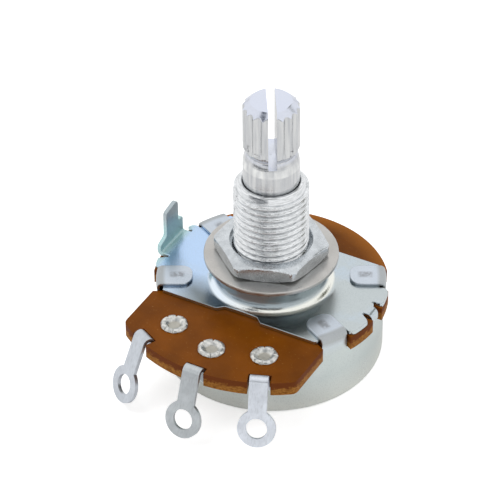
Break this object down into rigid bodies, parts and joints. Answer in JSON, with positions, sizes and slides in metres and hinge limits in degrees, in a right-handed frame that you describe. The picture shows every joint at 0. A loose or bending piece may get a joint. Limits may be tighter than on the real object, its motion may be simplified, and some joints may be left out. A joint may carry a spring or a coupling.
{
  "type": "rotary potentiometer",
  "caption": "Panel potentiometer with a split knurled shaft, a threaded bushing with nut and washer, a round metal can and solder lugs on a laminate wafer.",
  "frame": {"origin": "centre of the mounting face, the flat top of the boss, on the shaft's axis", "axes": "+Z along the shaft away from the can, -Y towards the centre terminal, +X to the right seen from the terminals"},
  "size_m": [0.0255, 0.0323, 0.0319],
  "materials": {
    "shaft": "turned and knurled, satin",
    "bushing": "nickel plated, bright",
    "plate": "blue zinc plated, satin",
    "nut": "nickel plated, satin",
    "washer": "nickel plated, satin",
    "can": "zinc plated, satin",
    "laminate": "phenolic paper laminate, semi-gloss",
    "carbon": "printed carbon film, matte",
    "silver_ink": "printed silver film, matte",
    "terminal": "silver plated, satin",
    "eyelet": "silver plated, bright",
    "rotor": "moulded acetal, matte",
    "wiper": "spring bronze, bright",
    "spring_steel": "oiled, satin"
  },
  "bodies": {
    "housing": {"bushing": "bushing", "mounting_plate": "plate", "hex_nut": "nut", "flat_washer": "washer", "rear_can": "can", "wafer": "laminate", "resistive_track": "carbon", "track_end_left": "silver_ink", "track_end_right": "silver_ink", "conductor_ring": "silver_ink", "terminal_left": "terminal", "terminal_centre": "terminal", "terminal_right": "terminal", "eyelet_left": "eyelet", "eyelet_centre": "eyelet", "eyelet_right": "eyelet", "thrust_washer": "spring_steel"},
    "spindle": {"shaft": "shaft", "rotor": "rotor", "wiper": "wiper", "retaining_ring": "spring_steel"}
  },
  "joints": [
    {"name": "shaft_turn", "type": "hinge", "parent": "housing", "child": "spindle", "pos_m": [0, 0, 0], "axis": [0, 0, 1], "range_deg": [-150, 150]}
  ]
}
